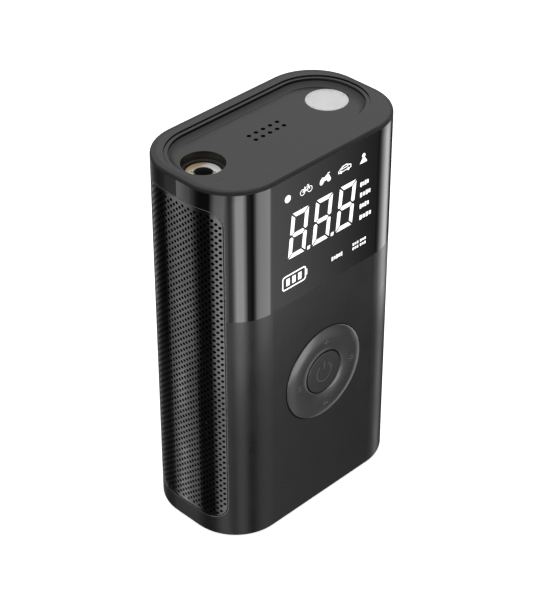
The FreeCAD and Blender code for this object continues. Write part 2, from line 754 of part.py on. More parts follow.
def gearbox_frame():
    """Cast frame: an upright plate, a boss for the crank bearing and a shelf for the cylinder."""
    wide = block("frame_wide", ("pump_x - 21", "plate_front", "20"),
                 ("pump_x + 21", "plate_back", "64"))
    narrow = block("frame_narrow", ("pump_x - 12", "plate_front", "7"),
                   ("pump_x + 11.3", "plate_back", "21"))
    shelf = block("frame_shelf", ("pump_x - 11", "rod_y - 11", "56"),
                  ("pump_x + 11", "plate_back", "59"))
    boss = rod("frame_boss", "9", "5.7", "plate_back", ("pump_x", "0", CRANK_Z), True)
    holes = [rod("bearing_seat", "6.5", "5", "13", ("pump_x", "0", CRANK_Z), True),
             rod("shaft_hole", "3.6", "5", "13", ("pump_x", "0", "motor_z"), True),
             rod("rod_hole", "8", "55", "60", ("pump_x", "rod_y", "0"))]
    for x in motor_screw_places():
        holes.append(rod("motor_hole", "1.1", "8", "12", (x, "0", "motor_z"), True))
    for x, z in damper_spots():
        holes.append(rod("damper_hole", "1.2", "8", "12", (x, "0", z), True))
    for x, y in head_screw_spots():
        holes.append(rod("stud_hole", "1.2", "55", "60", (x, y, "0")))
    casting = fuse("frame_casting", wide, narrow, shelf, boss)
    keep(cut("frame_shape", casting, *holes), "gearbox_frame")


def frame_mounts():
    dampers, screws = [], []
    for x, z in damper_spots():
        spot = (x, "0", z)
        dampers.append(tube("damper", "3.2", "1.2", "plate_back", "16", spot, True))
        corners = [("0", "7"), ("2.1", "7"), ("2.1", "plate_front"), ("1.1", "plate_front"),
                   ("1.1", "18.2"), ("0", "18.2")]
        screws.append(turned("frame_screw", corners, spot, True))
    keep(group("damper_set", dampers), "frame_dampers")
    keep(group("frame_screw_set", screws), "frame_screws")


def crank():
    spot = ("pump_x", "0", CRANK_Z)
    keep(tube("bearing_body", "6.5", "shaft_radius + running", "6", "plate_back", spot, True),
         "crank_bearing")
    keep(rod("crankshaft_body", "shaft_radius", "0.2", "17.8", spot, True), "crankshaft")
    hub = rod("web_hub", "8", "0.2", "4.8", spot, True)
    disc = rod("web_disc", "10.4", "0.2", "4.8", spot, True)
    upper = block("web_upper", ("pump_x - 12", "0", CRANK_Z + " - 2"),
                  ("pump_x + 12", "5", CRANK_Z + " + 12"))
    weight = cut("web_weight", disc, upper)
    solid = fuse("web_solid", hub, weight)
    bore = rod("web_bore", "shaft_radius", "0", "5", spot, True)
    pin_bore = rod("web_pin_bore", "pin_radius", "-0.5", "3", ("pump_x", "0", PIN_Z), True)
    trimmed_bore = cut("web_shaft_bore", bore, pin_bore)
    keep(cut("web_shape", solid, trimmed_bore, pin_bore), "crank_web")


def crank_pin():
    spot = ("pump_x", "0", PIN_Z)
    keep(rod("crank_pin_body", "pin_radius", "rod_y - 2.9", "0.2", spot, True), "crank_pin")


def connecting_rod():
    """Rod with a needle bearing at its big end and a short pin at its small end."""
    small_z = PIN_Z + " + rod_length"
    big = rod("rod_big", "5.4", "rod_y - 2.4", "rod_y + 2.4", ("pump_x", "0", PIN_Z), True)
    small = rod("rod_small", "3", "rod_y - 2", "rod_y + 2", ("pump_x", "0", small_z), True)
    beam = block("rod_beam", ("pump_x - 1.9", "rod_y - 1.5", PIN_Z + " + 2"),
                 ("pump_x + 1.9", "rod_y + 1.5", small_z))
    holes = [rod("rod_big_hole", "3.8", "rod_y - 3", "rod_y + 3", ("pump_x", "0", PIN_Z), True),
             rod("rod_pin_hole", "1.5", "rod_y - 3", "rod_y + 3", ("pump_x", "0", small_z), True)]
    keep(cut("rod_shape", fuse("rod_solid", big, small, beam), *holes), "connecting_rod")
    keep(tube("needle_body", "3.8", "pin_radius + running", "rod_y - 2.4", "rod_y + 2.4",
              ("pump_x", "0", PIN_Z), True), "big_end_bearing")
    keep(rod("wrist_pin_body", "1.5", "rod_y - 4", "rod_y + 4", ("pump_x", "0", small_z), True),
         "wrist_pin")


def piston():
    """Long cup piston.  Its hollow leaves the rod's small end free at every angle."""
    spot = ("pump_x", "rod_y", "0")
    groove = "piston_top - 3.4"
    corners = [("0", "piston_top - 2"), ("8", "piston_top - 2"), ("8", "piston_top - 16"),
               ("piston_radius", "piston_top - 16"), ("piston_radius", groove),
               ("8.5", groove), ("8.5", groove + " + 1.6"),
               ("piston_radius", groove + " + 1.6"), ("piston_radius", "piston_top"),
               ("0", "piston_top")]
    keep(turned("piston_body", corners, spot), "piston")
    keep(tube("piston_ring_body", "piston_radius + 0.02", "8.55", groove + " + 0.05",
              groove + " + 1.55", spot), "piston_ring")


def head_screw_spots():
    for x in ("pump_x - head_screw_reach", "pump_x + head_screw_reach"):
        for y in ("rod_y - head_screw_reach", "rod_y + head_screw_reach"):
            yield x, y


def head_block(name, low, high):
    return block(name, ("pump_x - head_half", "rod_y - head_half", low),
                 ("pump_x + head_half", "rod_y + head_half", high))


def drilled(name, blank, low, high, bore):
    """A square block with the cylinder's bore and four screw holes."""
    holes = [rod(name + "_bore", bore, low + " - 1", high + " + 1", ("pump_x", "rod_y", "0"))]
    for x, y in head_screw_spots():
        holes.append(rod(name + "_hole", "1.3", low + " - 1", high + " + 1", (x, y, "0")))
    return cut(name, blank, *holes)


def cylinder():
    barrel = rod("barrel", "cylinder_radius", "cylinder_low", "cylinder_high",
                 ("pump_x", "rod_y", "0"))
    foot = head_block("cylinder_foot", "cylinder_low", "cylinder_low + 3")
    fins = [tube("cooling_fin", "cylinder_radius + 0.6", "cylinder_radius - 0.5",
                 "cylinder_low + %g" % rise, "cylinder_low + %g" % (rise + 1.0),
                 ("pump_x", "rod_y", "0")) for rise in (6, 9, 12, 15, 18, 21, 24)]
    solid = fuse("cylinder_solid", barrel, foot, *fins)
    keep(drilled("cylinder_shape", solid, "cylinder_low", "cylinder_high", "bore_radius"),
         "cylinder")
    gasket = head_block("gasket_blank", "cylinder_high", "cylinder_high + 0.5")
    keep(drilled("gasket_shape", gasket, "cylinder_high", "cylinder_high + 0.5", "bore_radius"),
         "head_gasket")


def cylinder_head():
    low = "cylinder_high + 0.5"
    blank = head_block("head_blank", low, "head_high - 4")
    spigot = rod("head_spigot", "2.4", "head_high - 5", "head_high + 3",
                 ("pump_x", "rod_y", "0"))
    collar = rod("head_collar", "4.6", "head_high - 5", "head_high", ("pump_x", "rod_y", "0"))
    holes = [rod("head_chamber", "5", "cylinder_high", low + " + 2", ("pump_x", "rod_y", "0")),
             rod("head_passage", "1.3", "cylinder_high", "head_high + 6",
                 ("pump_x", "rod_y", "0"))]
    for x, y in head_screw_spots():
        holes.append(rod("head_hole", "1.3", "cylinder_high", "head_high", (x, y, "0")))
    keep(cut("head_shape", fuse("head_solid", blank, spigot, collar), *holes), "cylinder_head")
    keep(rod("reed_body", "4.4", low + " + 0.9", low + " + 1.1", ("pump_x", "rod_y", "0")),
         "reed_valve")
    screws = []
    for x, y in head_screw_spots():
        corners = [("0", "57"), ("1.15", "57"), ("1.15", "head_high - 4"),
                   ("2", "head_high - 4"), ("2", "head_high - 2.6"), ("0", "head_high - 2.6")]
        screws.append(turned("head_screw", corners, (x, y, "0")))
    keep(group("head_screw_set", screws), "head_screws")


# ---------------------------------------------------------------- battery and charging

def battery_holder(name, low, high, pocket_low, pocket_length):
    """A round-ended cradle with a seat for each cell and a slot for the nickel strap."""
    body = new_body(name + "_body")
    sketch = sketch_on(body, "XY_Plane", low)
    rectangle(sketch, "cell_radius + 0.4", "cell_y + cell_radius + 0.4", "cell_radius + 0.3")
    pad(body, sketch, "%s - (%s)" % (high, low))
    for y in ("cell_y", "-cell_y"):
        sketch = sketch_on(body, "XY_Plane", pocket_low)
        circle(sketch, "cell_radius + 0.1", "0", y)
        pocket(body, sketch, pocket_length)
    sketch = sketch_on(body, "XY_Plane", pocket_low)
    rectangle(sketch, "4.1", "cell_y + 4.1", "0.5")
    pocket(body, sketch, pocket_length)
    keep(place(body, ("cell_x", "0", "0")), name)


def battery():
    cells = []
    for y in ("cell_y", "-cell_y"):
        corners = [("0", "cell_low"), ("cell_radius", "cell_low"), ("cell_radius", "cell_high - 1"),
                   ("cell_radius - 1", "cell_high"), ("0", "cell_high")]
        cells.append(turned("battery_cell", corners, ("cell_x", y, "0")))
    keep(group("battery_cell_set", cells), "battery_cells")
    battery_holder("battery_cradle_low", "8.4", "15", "cell_low - 0.2", "8")
    battery_holder("battery_cradle_top", "70", "77", "69", "cell_high - 68.8")
    straps = []
    for low, high in (("cell_low - 0.18", "cell_low"), ("cell_high", "cell_high + 0.18")):
        straps.append(block("nickel_strap", ("cell_x - 4", "-cell_y - 4", low),
                            ("cell_x + 4", "cell_y + 4", high)))
    keep(group("nickel_strap_set", straps), "nickel_straps")


def charging():
    keep(block("charge_board_body", ("2.4", "3.5", "11"), ("15.8", "20", "12.2")),
         "charge_board")
    body = new_body("usb_body")
    sketch = sketch_on(body, "XZ_Plane", "-(depth / 2 - 0.4)")
    rectangle(sketch, "4.45", "1.6", "1.55", "usb_x", "usb_z")
    pad(body, sketch, "7.3")
    sketch = sketch_on(body, "XZ_Plane", "-(depth / 2 + 1)")
    rectangle(sketch, "4.15", "1.3", "1.25", "usb_x", "usb_z")
    pocket(body, sketch, "7.2")
    sketch = sketch_on(body, "XZ_Plane", "-(depth / 2 - 1.6)")
    rectangle(sketch, "3.3", "0.35", "0.1", "usb_x", "usb_z")
    pad(body, sketch, "5")
    keep(body, "usb_c_receptacle")


# ---------------------------------------------------------------- whole object

def check_and_write():
    document.recompute()
    for item in document.Objects:
        if any(word in item.State for word in ("Invalid", "Error")):
            raise SystemExit("%s failed: %s" % (item.Label, item.State))
    os.makedirs("parts", exist_ok=True)
    for node in NODES:
        if node.Shape.isNull() or not node.Shape.isValid() or not node.Shape.Solids:
            raise SystemExit("%s has no valid solid" % node.Label)
        node.Shape.exportStep("parts/%s.step" % node.Label)
    print(len(NODES), "sub-parts written")


fill_sheet()
front_shell()
rear_shell()
display_wrap()
base_plate()
base_screws()
top_bezel()
top_plate()
grille("left_grille", -1)
grille("right_grille", 1)
lamp()
outlet()
air_hose()
buzzer()
nav_ring()
nav_gimbal()
power_button()
switch_stack()
display()
gears()
motor()
gearbox_frame()
frame_mounts()
crank()
crank_pin()
connecting_rod()
piston()
cylinder()
cylinder_head()
battery()
charging()
check_and_write()
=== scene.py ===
import json
import math
import bmesh
import bpy
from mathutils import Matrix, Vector
from mathutils.geometry import delaunay_2d_cdt


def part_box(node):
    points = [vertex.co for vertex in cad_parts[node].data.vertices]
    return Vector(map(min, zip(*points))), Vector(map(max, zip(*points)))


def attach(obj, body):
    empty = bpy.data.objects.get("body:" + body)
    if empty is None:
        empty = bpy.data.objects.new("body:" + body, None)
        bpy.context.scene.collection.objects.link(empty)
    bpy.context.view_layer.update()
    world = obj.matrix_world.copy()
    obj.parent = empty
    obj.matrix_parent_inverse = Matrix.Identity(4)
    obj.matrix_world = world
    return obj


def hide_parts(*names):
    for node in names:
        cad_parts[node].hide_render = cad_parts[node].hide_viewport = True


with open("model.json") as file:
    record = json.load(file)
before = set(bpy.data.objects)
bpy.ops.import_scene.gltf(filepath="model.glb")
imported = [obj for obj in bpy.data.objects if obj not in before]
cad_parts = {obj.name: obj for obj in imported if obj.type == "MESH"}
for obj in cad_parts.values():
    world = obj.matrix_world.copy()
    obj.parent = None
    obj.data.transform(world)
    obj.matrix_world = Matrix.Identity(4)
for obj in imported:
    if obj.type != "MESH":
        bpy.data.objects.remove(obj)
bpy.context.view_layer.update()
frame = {"nodes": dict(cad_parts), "record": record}
scene = bpy.context.scene

# ------------------------------------------------------------------ sizes, in metres
MM = 0.001
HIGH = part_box("top_bezel")[1]
HALF_WIDTH = HIGH[0]
HALF_DEPTH = HIGH[1]
HEIGHT = HIGH[2]
CORNER = 17.27 * MM                        # corner radius of the casing seen from above
FLAT_X = HALF_WIDTH - CORNER               # half the flat of the front face
FLAT_Y = HALF_DEPTH - CORNER               # half the flat of a narrow end
FRONT = -HALF_DEPTH                        # the plane of the control face
BUTTON_Z = sum(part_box("nav_ring")[side][2] for side in (0, 1)) / 2


# ------------------------------------------------------------------ meshes

def new_object(name, mesh, material, body="root"):
    """Puts a mesh in the scene, with its material, riding on a CAD body."""
    piece = bpy.data.objects.new(name, mesh)
    scene.collection.objects.link(piece)
    if material:
        mesh.materials.append(material)
    if body:
        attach(piece, body)
    return piece


def finish_mesh(bm, name, sharp=35):
    """Turns a bmesh into a smooth-shaded mesh that keeps its edges over an angle sharp."""
    bmesh.ops.recalc_face_normals(bm, faces=bm.faces)
    mesh = bpy.data.meshes.new(name)
    bm.to_mesh(mesh)
    bm.free()
    mesh.shade_smooth()
    mesh.set_sharp_from_angle(angle=math.radians(sharp))
    return mesh


def along_arc(centre, radius, start, stop, count):
    """Points on an arc, angles in degrees."""
    angles = [math.radians(start + (stop - start) * i / count) for i in range(count + 1)]
    return [(centre[0] + radius * math.cos(a), centre[1] + radius * math.sin(a)) for a in angles]


def lathe(name, profile, centre, axis="Z", turns=96):
    """A closed turned mesh.  The profile lists (radius, place along the axis)."""
    bm = bmesh.new()
    rings = []
    for radius, along in profile:
        count = 1 if radius < 1e-7 else turns
        ring = []
        for step in range(count):
            angle = 2 * math.pi * step / turns
            u, v = radius * math.cos(angle), radius * math.sin(angle)
            spot = (u, v, along) if axis == "Z" else (u, along, v)
            ring.append(bm.verts.new(Vector(centre) + Vector(spot)))
        rings.append(ring)
    closed = profile[0][0] > 1e-7
    pairs = list(zip(rings, rings[1:])) + ([(rings[-1], rings[0])] if closed else [])
    for one, two in pairs:
        for step in range(turns):
            after = (step + 1) % turns
            corners = [one[step % len(one)], one[after % len(one)],
                       two[after % len(two)], two[step % len(two)]]
            corners = list(dict.fromkeys(corners))
            if len(corners) > 2:
                bm.faces.new(corners)
    return finish_mesh(bm, name)


def loft(name, loops):
    """A closed band through loops of points, each with as many points as the next."""
    bm = bmesh.new()
    rows = [[bm.verts.new(point) for point in loop] for loop in loops]
    for one, two in zip(rows, rows[1:] + rows[:1]):
        for i in range(len(one)):
            k = (i + 1) % len(one)
            bm.faces.new([one[i], one[k], two[k], two[i]])
    return finish_mesh(bm, name, 20)


def round_rectangle(half_x, half_y, radius, centre_y, z, steps=20):
    """A level loop of points: a rectangle with round corners."""
    loop = []
    for sx, sy, start in ((1, -1, 270), (1, 1, 0), (-1, 1, 90), (-1, -1, 180)):
        centre = (sx * (half_x - radius), centre_y + sy * (half_y - radius))
        loop += [(x, y, z) for x, y in along_arc(centre, radius, start, start + 90, steps)]
    return loop


def smooth_line(points, steps=6):
    """Extra points on a smooth curve through the given ones."""
    ends = [points[0]] + points + [points[-1]]
    line = []
    for a, b, c, d in zip(ends, ends[1:], ends[2:], ends[3:]):
        for step in range(steps):
            t = step / steps
            line.append(tuple(
                0.5 * (2 * q + (r - p) * t + (2 * p - 5 * q + 4 * r - w) * t ** 2
                       + (3 * q - p - 3 * r + w) * t ** 3)
                for p, q, r, w in zip(a, b, c, d)))
    return line + [points[-1]]


# ------------------------------------------------------------------ materials

def node_tree(name):
    """A new material with its Principled shader."""
    material = bpy.data.materials.new(name)
    material.use_nodes = True
    tree = material.node_tree
    shader = tree.nodes["Principled BSDF"]
    return material, tree, shader


def add_node(tree, kind, **inputs):
    node = tree.nodes.new(kind)
    for key, value in inputs.items():
        node.inputs[key.replace("_", " ")].default_value = value
    return node


def object_noise(tree, grain, detail=3.0):
    """Noise whose grains measure about one grain size, in metres, fixed to the object."""
    place = tree.nodes.new("ShaderNodeTexCoord")
    noise = add_node(tree, "ShaderNodeTexNoise", Scale=1 / grain, Detail=detail)
    tree.links.new(place.outputs["Object"], noise.inputs["Vector"])
    return noise


def spread(tree, source, low, high):
    """Maps the middle half of a noise onto a range."""
    node = add_node(tree, "ShaderNodeMapRange", From_Min=0.3, From_Max=0.7,
                    To_Min=low, To_Max=high)
    tree.links.new(source, node.inputs["Value"])
    return node.outputs["Result"]


def tint(tree, source, dark, light):
    """Mixes two colours by a noise."""
    ramp = tree.nodes.new("ShaderNodeValToRGB")
    ramp.color_ramp.elements[0].position = 0.3
    ramp.color_ramp.elements[1].position = 0.7
    ramp.color_ramp.elements[0].color = (*dark, 1)
    ramp.color_ramp.elements[1].color = (*light, 1)
    tree.links.new(source, ramp.inputs["Fac"])
    return ramp.outputs["Color"]


def bump(tree, shader, source, height):
    """Raises the surface by a noise, height in metres."""
    node = add_node(tree, "ShaderNodeBump", Strength=1.0, Distance=height)
    tree.links.new(source, node.inputs["Height"])
    tree.links.new(node.outputs["Normal"], shader.inputs["Normal"])


def shade(value, share):
    return tuple(min(1.0, channel * share) for channel in value)


def moulded(name, color, rough, grain=0.16 * MM, height=0.006 * MM, mottle=0.12, **sockets):
    """Moulded plastic or rubber: a fine texture, slightly uneven in colour and gloss."""
    material, tree, shader = node_tree(name)
    fine = object_noise(tree, grain)
    broad = object_noise(tree, 9 * MM, 4.0)
    color_out = tint(tree, broad.outputs["Fac"], shade(color, 1 - mottle), shade(color, 1 + mottle))
    tree.links.new(color_out, shader.inputs["Base Color"])
    rough_out = spread(tree, broad.outputs["Fac"], rough - 0.03, rough + 0.03)
    tree.links.new(rough_out, shader.inputs["Roughness"])
    bump(tree, shader, fine.outputs["Fac"], height)
    for key, value in sockets.items():
        shader.inputs[key.replace("_", " ")].default_value = value
    return material


def metal(name, color, rough, grain=0.3 * MM, height=0.004 * MM, stretch=(1, 1, 1)):
    """Metal with fine tool marks, drawn out along an axis."""
    material, tree, shader = node_tree(name)
    marks = object_noise(tree, grain, 5.0)
    mapping = add_node(tree, "ShaderNodeMapping", Scale=stretch)
    tree.links.new(marks.inputs["Vector"].links[0].from_socket, mapping.inputs["Vector"])
    tree.links.new(mapping.outputs["Vector"], marks.inputs["Vector"])
    color_out = tint(tree, marks.outputs["Fac"], shade(color, 0.88), shade(color, 1.08))
    tree.links.new(color_out, shader.inputs["Base Color"])
    rough_out = spread(tree, marks.outputs["Fac"], rough - 0.05, rough + 0.07)
    tree.links.new(rough_out, shader.inputs["Roughness"])
    shader.inputs["Metallic"].default_value = 1.0
    bump(tree, shader, marks.outputs["Fac"], height)
    return material


def glow(name, color, strength):
    """Lit display shapes: white light, a little uneven from place to place."""
    material, tree, shader = node_tree(name)
    noise = object_noise(tree, 1.4 * MM)
    color_out = tint(tree, noise.outputs["Fac"], shade(color, 0.94), color)
    tree.links.new(color_out, shader.inputs["Emission Color"])
    tree.links.new(color_out, shader.inputs["Base Color"])
    shader.inputs["Emission Strength"].default_value = strength
    shader.inputs["Roughness"].default_value = 0.4
    return material


def gloss_wrap():
    """Smoked high-gloss plastic, with the faint waviness of a moulded window."""
    material, tree, shader = node_tree("smoked_gloss")
    wave = object_noise(tree, 14 * MM, 2.0)
    color_out = tint(tree, wave.outputs["Fac"], (0.008, 0.008, 0.009), (0.011, 0.011, 0.012))
    tree.links.new(color_out, shader.inputs["Base Color"])
    haze = object_noise(tree, 0.5 * MM, 6.0)
    tree.links.new(spread(tree, haze.outputs["Fac"], 0.03, 0.06), shader.inputs["Roughness"])
    shader.inputs["IOR"].default_value = 1.52
    bump(tree, shader, wave.outputs["Fac"], 0.01 * MM)
    return material


def lens_white():
    """Milky lamp lens."""
    material, tree, shader = node_tree("milky_lens")
    cloud = object_noise(tree, 5 * MM, 2.0)
    color_out = tint(tree, cloud.outputs["Fac"], (0.84, 0.84, 0.84), (0.92, 0.92, 0.92))
    tree.links.new(color_out, shader.inputs["Base Color"])
    frost = object_noise(tree, 0.25 * MM)
    tree.links.new(spread(tree, frost.outputs["Fac"], 0.35, 0.5), shader.inputs["Roughness"])
    shader.inputs["Subsurface Weight"].default_value = 0.3
    shader.inputs["Subsurface Scale"].default_value = 0.8 * MM
    bump(tree, shader, frost.outputs["Fac"], 0.01 * MM)
    return material


def pale_brass():
    """Nickel-washed brass, brushed: cream, warmer towards the back of the socket."""
    material, tree, shader = node_tree("pale_brass")
    place = tree.nodes.new("ShaderNodeTexCoord")
    split = tree.nodes.new("ShaderNodeSeparateXYZ")
    tree.links.new(place.outputs["Object"], split.inputs["Vector"])
    across = add_node(tree, "ShaderNodeMapRange", From_Min=4.5 * MM, From_Max=8 * MM)
    tree.links.new(split.outputs["Y"], across.inputs["Value"])
    marks = object_noise(tree, 0.3 * MM, 4.0)
    mixed = tree.nodes.new("ShaderNodeMath")
    mixed.operation = "MULTIPLY_ADD"
    tree.links.new(marks.outputs["Fac"], mixed.inputs[0])
    mixed.inputs[1].default_value = 0.2
    tree.links.new(across.outputs["Result"], mixed.inputs[2])
    color = tint(tree, mixed.outputs["Value"], (0.95, 0.93, 0.88), (0.62, 0.46, 0.28))
    tree.links.new(color, shader.inputs["Base Color"])
    tree.links.new(spread(tree, marks.outputs["Fac"], 0.3, 0.42), shader.inputs["Roughness"])
    shader.inputs["Metallic"].default_value = 0.2
    bump(tree, shader, marks.outputs["Fac"], 0.003 * MM)
    return material


def circuit():
    """Green solder mask with paler copper tracks under it."""
    material, tree, shader = node_tree("solder_mask")
    place = tree.nodes.new("ShaderNodeTexCoord")
    tracks = add_node(tree, "ShaderNodeTexVoronoi", Scale=1 / (2.2 * MM))
    tracks.distance = "MANHATTAN"
    tracks.feature = "DISTANCE_TO_EDGE"
    tree.links.new(place.outputs["Object"], tracks.inputs["Vector"])
    edge = add_node(tree, "ShaderNodeMapRange", From_Min=0.03, From_Max=0.06)
    tree.links.new(tracks.outputs["Distance"], edge.inputs["Value"])
    ramp = tint(tree, edge.outputs["Result"], (0.03, 0.16, 0.07), (0.008, 0.07, 0.03))
    tree.links.new(ramp, shader.inputs["Base Color"])
    shader.inputs["Roughness"].default_value = 0.35
    bump(tree, shader, edge.outputs["Result"], -0.03 * MM)
    return material


BLACK = (0.014, 0.014, 0.0145)


def slot_materials():
    """One finished material for each material slot of the record, and a few for details."""
    return {
        "matte_casing": moulded("matt_casing", BLACK, 0.28),
        "gloss_wrap": gloss_wrap(),
        "grille_metal": moulded("grille_paint", (0.006, 0.006, 0.0065), 0.12, 0.3 * MM, 0.001 * MM,
                                Specular_IOR_Level=0.9),
        "ring_plastic": moulded("ring_satin", (0.052, 0.052, 0.053), 0.24, 0.2 * MM, 0.002 * MM,
                                0.06, Specular_IOR_Level=0.75),
        "button_plastic": moulded("button_matt", (0.020, 0.020, 0.0205), 0.42),
        "lens_white": lens_white(),
        "brass_fitting": pale_brass(),
        "dark_plastic": moulded("inner_plastic", (0.014, 0.014, 0.014), 0.55),
        "reflector_chrome": metal("vacuum_chrome", (0.85, 0.85, 0.87), 0.08, 1.5 * MM),
        "lamp_chip": moulded("phosphor", (0.8, 0.75, 0.45), 0.4, 0.1 * MM),
        "rubber": moulded("rubber", (0.02, 0.02, 0.02), 0.75, 0.25 * MM, 0.01 * MM),
        "circuit_board": circuit(),
        "steel": metal("machined_steel", (0.56, 0.56, 0.58), 0.30, stretch=(1, 5, 1)),
        "cast_aluminium": metal("cast_aluminium", (0.62, 0.63, 0.65), 0.42, 0.5 * MM, 0.02 * MM),
        "ring_seal": moulded("filled_polymer", (0.10, 0.08, 0.06), 0.5),
        # Paler, duller copy of the casing plastic for the shells: painted light that lifts the walls'
        # tone.
        "wall_painted_light": moulded("wall_painted_light_plastic", (0.036, 0.036, 0.037), 0.30, height=0.003 * MM, mottle=0.06,
                             Specular_IOR_Level=0.3),
        # Pale grey band round each grille opening: a painted highlight on the edge.
        "painted_highlight_edge": moulded("painted_highlight_edge", (0.34, 0.34, 0.35), 0.25, 0.3 * MM, 0.001 * MM),
        # The cap's bevelled border in a paler, duller copy of the cap plastic: painted light and shade
        # of the bevel.
        "border_painted_shading": moulded("border_painted_shading", (0.075, 0.075, 0.076), 0.5,
                               Specular_IOR_Level=0.12),
        # Near black for the inside of the socket's bore: painted shade.
        "bore_painted_shade": moulded("bore_painted_shade", (0.006, 0.006, 0.006), 0.7),
        "faint_mark": moulded("faint_mark", (0.24, 0.24, 0.241), 0.40, 0.3 * MM, 0.002 * MM),
        "cell_wrap": moulded("cell_sleeve", (0.03, 0.10, 0.30), 0.35, 0.5 * MM),
    }


MATERIALS = slot_materials()


def dress_cad_nodes():
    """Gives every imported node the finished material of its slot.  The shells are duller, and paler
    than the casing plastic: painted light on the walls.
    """
    slots = {row["node"]: row["material_slot"] for row in frame["record"]["subparts"]}
    for name, node in frame["nodes"].items():
        # The shells take the paler copy of the casing plastic: painted light on the walls.
        finish = "wall_painted_light" if name in ("front_shell", "rear_shell") else slots[name]
        for holder in node.material_slots:
            holder.material = MATERIALS[finish]


# ------------------------------------------------------------------ side grilles

GRILLE_LOW, GRILLE_HIGH = (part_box("left_grille")[side][2] for side in (0, 1))
GRILLE_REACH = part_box("left_grille")[1][1]
GRILLE_CORNER = 5.0 * MM
GRILLE_INSET = 0.15 * MM
SHEET = 0.75 * MM
HOLE = 0.55 * MM                           # radius of a perforation
COLUMN_STEP = 1.23 * MM
ROW_STEP = 2.17 * MM
HOLE_SIDES = 10
HOLE_MARGIN = 0.75 * MM
GRILLE_GAP = 0.25 * MM                     # the opening is this much larger than the sheet
EDGE_WIDTH = 0.2 * MM                      # width of the pale band painted as the edge's highlight


def end_point(across, inset):
    """A point and how far round the casing's end it lies, for a distance along the outline.
    Zero is the middle of the narrow end, and positive runs towards the front."""
    over = abs(across) - FLAT_Y
    sign = -1 if across > 0 else 1
    if over <= 0:
        return -HALF_WIDTH + inset, -across
    angle = over / CORNER
    reach = CORNER - inset
    return -FLAT_X - reach * math.cos(angle), sign * (FLAT_Y + reach * math.sin(angle))


def outline_length(y):
    """The distance along the outline from the middle of the end to a given y."""
    over = min(abs(y) - FLAT_Y, CORNER)
    length = abs(y) if over <= 0 else FLAT_Y + CORNER * math.asin(over / CORNER)
    return math.copysign(length, y)


def grille_border(grow=0.0):
    """The sheet's round-cornered outline, in (distance along the outline, height)."""
    corners = [(1, GRILLE_LOW, 270), (1, GRILLE_HIGH, 0), (-1, GRILLE_HIGH, 90), (-1, GRILLE_LOW, 180)]
    flat = []
    for side, height, start in corners:
        inward = GRILLE_CORNER if height == GRILLE_LOW else -GRILLE_CORNER
        centre = (side * (GRILLE_REACH - GRILLE_CORNER), height + inward)
        flat += along_arc(centre, GRILLE_CORNER + grow, start, start + 90, 10)
    border = []
    for (y, z), (next_y, next_z) in zip(flat, flat[1:] + flat[:1]):
        steps = max(1, int(math.hypot(next_y - y, next_z - z) / (1.2 * MM)))
        for step in range(steps):
            share = step / steps
            border.append((outline_length(y + (next_y - y) * share), z + (next_z - z) * share))
    return border


def inside_border(s, z):
    """True where a whole hole fits in the sheet with its margin."""
    reach = outline_length(GRILLE_REACH) - HOLE_MARGIN
    low, high = GRILLE_LOW + HOLE_MARGIN, GRILLE_HIGH - HOLE_MARGIN
    if abs(s) > reach or not low < z < high:
        return False
    radius = GRILLE_CORNER - HOLE_MARGIN
    over_s = abs(s) - (reach - radius)
    over_z = max(low + radius - z, z - (high - radius))
    return over_s <= 0 or over_z <= 0 or math.hypot(over_s, over_z) < radius


def perforations():
    """Centres of the holes, in staggered columns."""
    columns = int(outline_length(GRILLE_REACH) / COLUMN_STEP)
    rows = int((GRILLE_HIGH - GRILLE_LOW) / ROW_STEP) + 1
    middle = (GRILLE_LOW + GRILLE_HIGH) / 2
    for column in range(-columns, columns + 1):
        s = (column + 0.5) * COLUMN_STEP
        shift = 0.25 if column % 2 else -0.25
        for row in range(-rows // 2, rows // 2 + 1):
            z = middle + (row + shift) * ROW_STEP
            if inside_border(s, z):
                yield s, z


def grille_pattern():
    """The flat sheet: its points, the loops of its edges, and triangles between the loops."""
    points = []
    loops = []
    for centre in perforations():
        loops.append(list(range(len(points), len(points) + HOLE_SIDES)))
        points += along_arc(centre, HOLE, 0, 360, HOLE_SIDES)[:-1]
    border = grille_border()
    loops.append(list(range(len(points), len(points) + len(border))))
    points += border
    edges = [(loop[i], loop[(i + 1) % len(loop)]) for loop in loops for i in range(len(loop))]
    flat = [Vector((s / MM, z / MM)) for s, z in points]
    _, _, faces, origins, _, _ = delaunay_2d_cdt(flat, edges, [], 1, 1e-5)
    hole_of = {index: number for number, loop in enumerate(loops[:-1]) for index in loop}
    kept = []
    for face in faces:
        corners = [origins[corner][0] for corner in face]
        holes = {hole_of.get(corner) for corner in corners}
        if len(holes) > 1 or None in holes:
            kept.append(corners)
    return points, loops, kept


def perforated_grille(name, side):
    """A perforated sheet bent round one end of the casing.  side is -1 for left, 1 for right."""
    points, loops, faces = GRILLE_PATTERN
    bm = bmesh.new()
    layers = []
    for inset in (GRILLE_INSET, GRILLE_INSET + SHEET):
        layer = []
        for s, z in points:
            x, y = end_point(s, inset)
            layer.append(bm.verts.new((x * -side, y, z)))
        layers.append(layer)
    front, back = layers
    for face in faces:
        bm.faces.new([front[i] for i in face])
        bm.faces.new([back[i] for i in reversed(face)])
    for loop in loops:
        for one, two in zip(loop, loop[1:] + loop[:1]):
            bm.faces.new([front[two], front[one], back[one], back[two]])
    piece = new_object(name + "_perforated", finish_mesh(bm, name), MATERIALS["grille_metal"])
    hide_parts(name)


